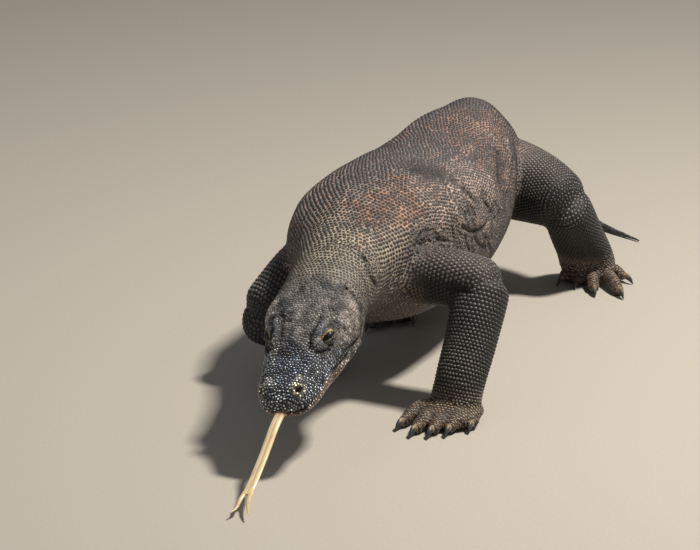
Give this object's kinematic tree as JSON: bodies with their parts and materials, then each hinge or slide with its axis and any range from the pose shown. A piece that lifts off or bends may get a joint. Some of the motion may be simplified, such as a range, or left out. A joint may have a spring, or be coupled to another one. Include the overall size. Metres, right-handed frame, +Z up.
{
  "type": "komodo dragon",
  "caption": "Life-size still model of an adult Komodo dragon walking low, head down, with its forked tongue out and its tail curled on the ground.",
  "frame": {"origin": "on the floor, under the middle of the animal's bounding box", "axes": "+Z up; the animal faces -Y, its left side is +X and its tail trails towards +Y"},
  "size_m": [0.4838, 1.6524, 0.2862],
  "materials": {
    "hide": "dry, beaded scales",
    "eye": "wet gloss",
    "claw": "worn horn",
    "tongue": "moist satin"
  },
  "bodies": {
    "root": {"head": "hide", "lower_jaw": "hide", "eye_left": "eye", "eye_right": "eye", "tongue": "tongue", "neck": "hide", "chest": "hide", "belly": "hide", "hips": "hide", "tail_base": "hide", "tail_middle": "hide", "tail_end": "hide", "tail_tip": "hide", "upper_arm_left": "hide", "forearm_left": "hide", "hand_left": "hide", "thigh_left": "hide", "shank_left": "hide", "foot_left": "hide", "upper_arm_right": "hide", "forearm_right": "hide", "hand_right": "hide", "thigh_right": "hide", "shank_right": "hide", "foot_right": "hide", "claw_front_left_1": "claw", "claw_front_left_2": "claw", "claw_front_left_3": "claw", "claw_front_left_4": "claw", "claw_front_left_5": "claw", "claw_front_right_1": "claw", "claw_front_right_2": "claw", "claw_front_right_3": "claw", "claw_front_right_4": "claw", "claw_front_right_5": "claw", "claw_hind_left_1": "claw", "claw_hind_left_2": "claw", "claw_hind_left_3": "claw", "claw_hind_left_4": "claw", "claw_hind_left_5": "claw", "claw_hind_right_1": "claw", "claw_hind_right_2": "claw", "claw_hind_right_3": "claw", "claw_hind_right_4": "claw", "claw_hind_right_5": "claw"}
  },
  "joints": []
}
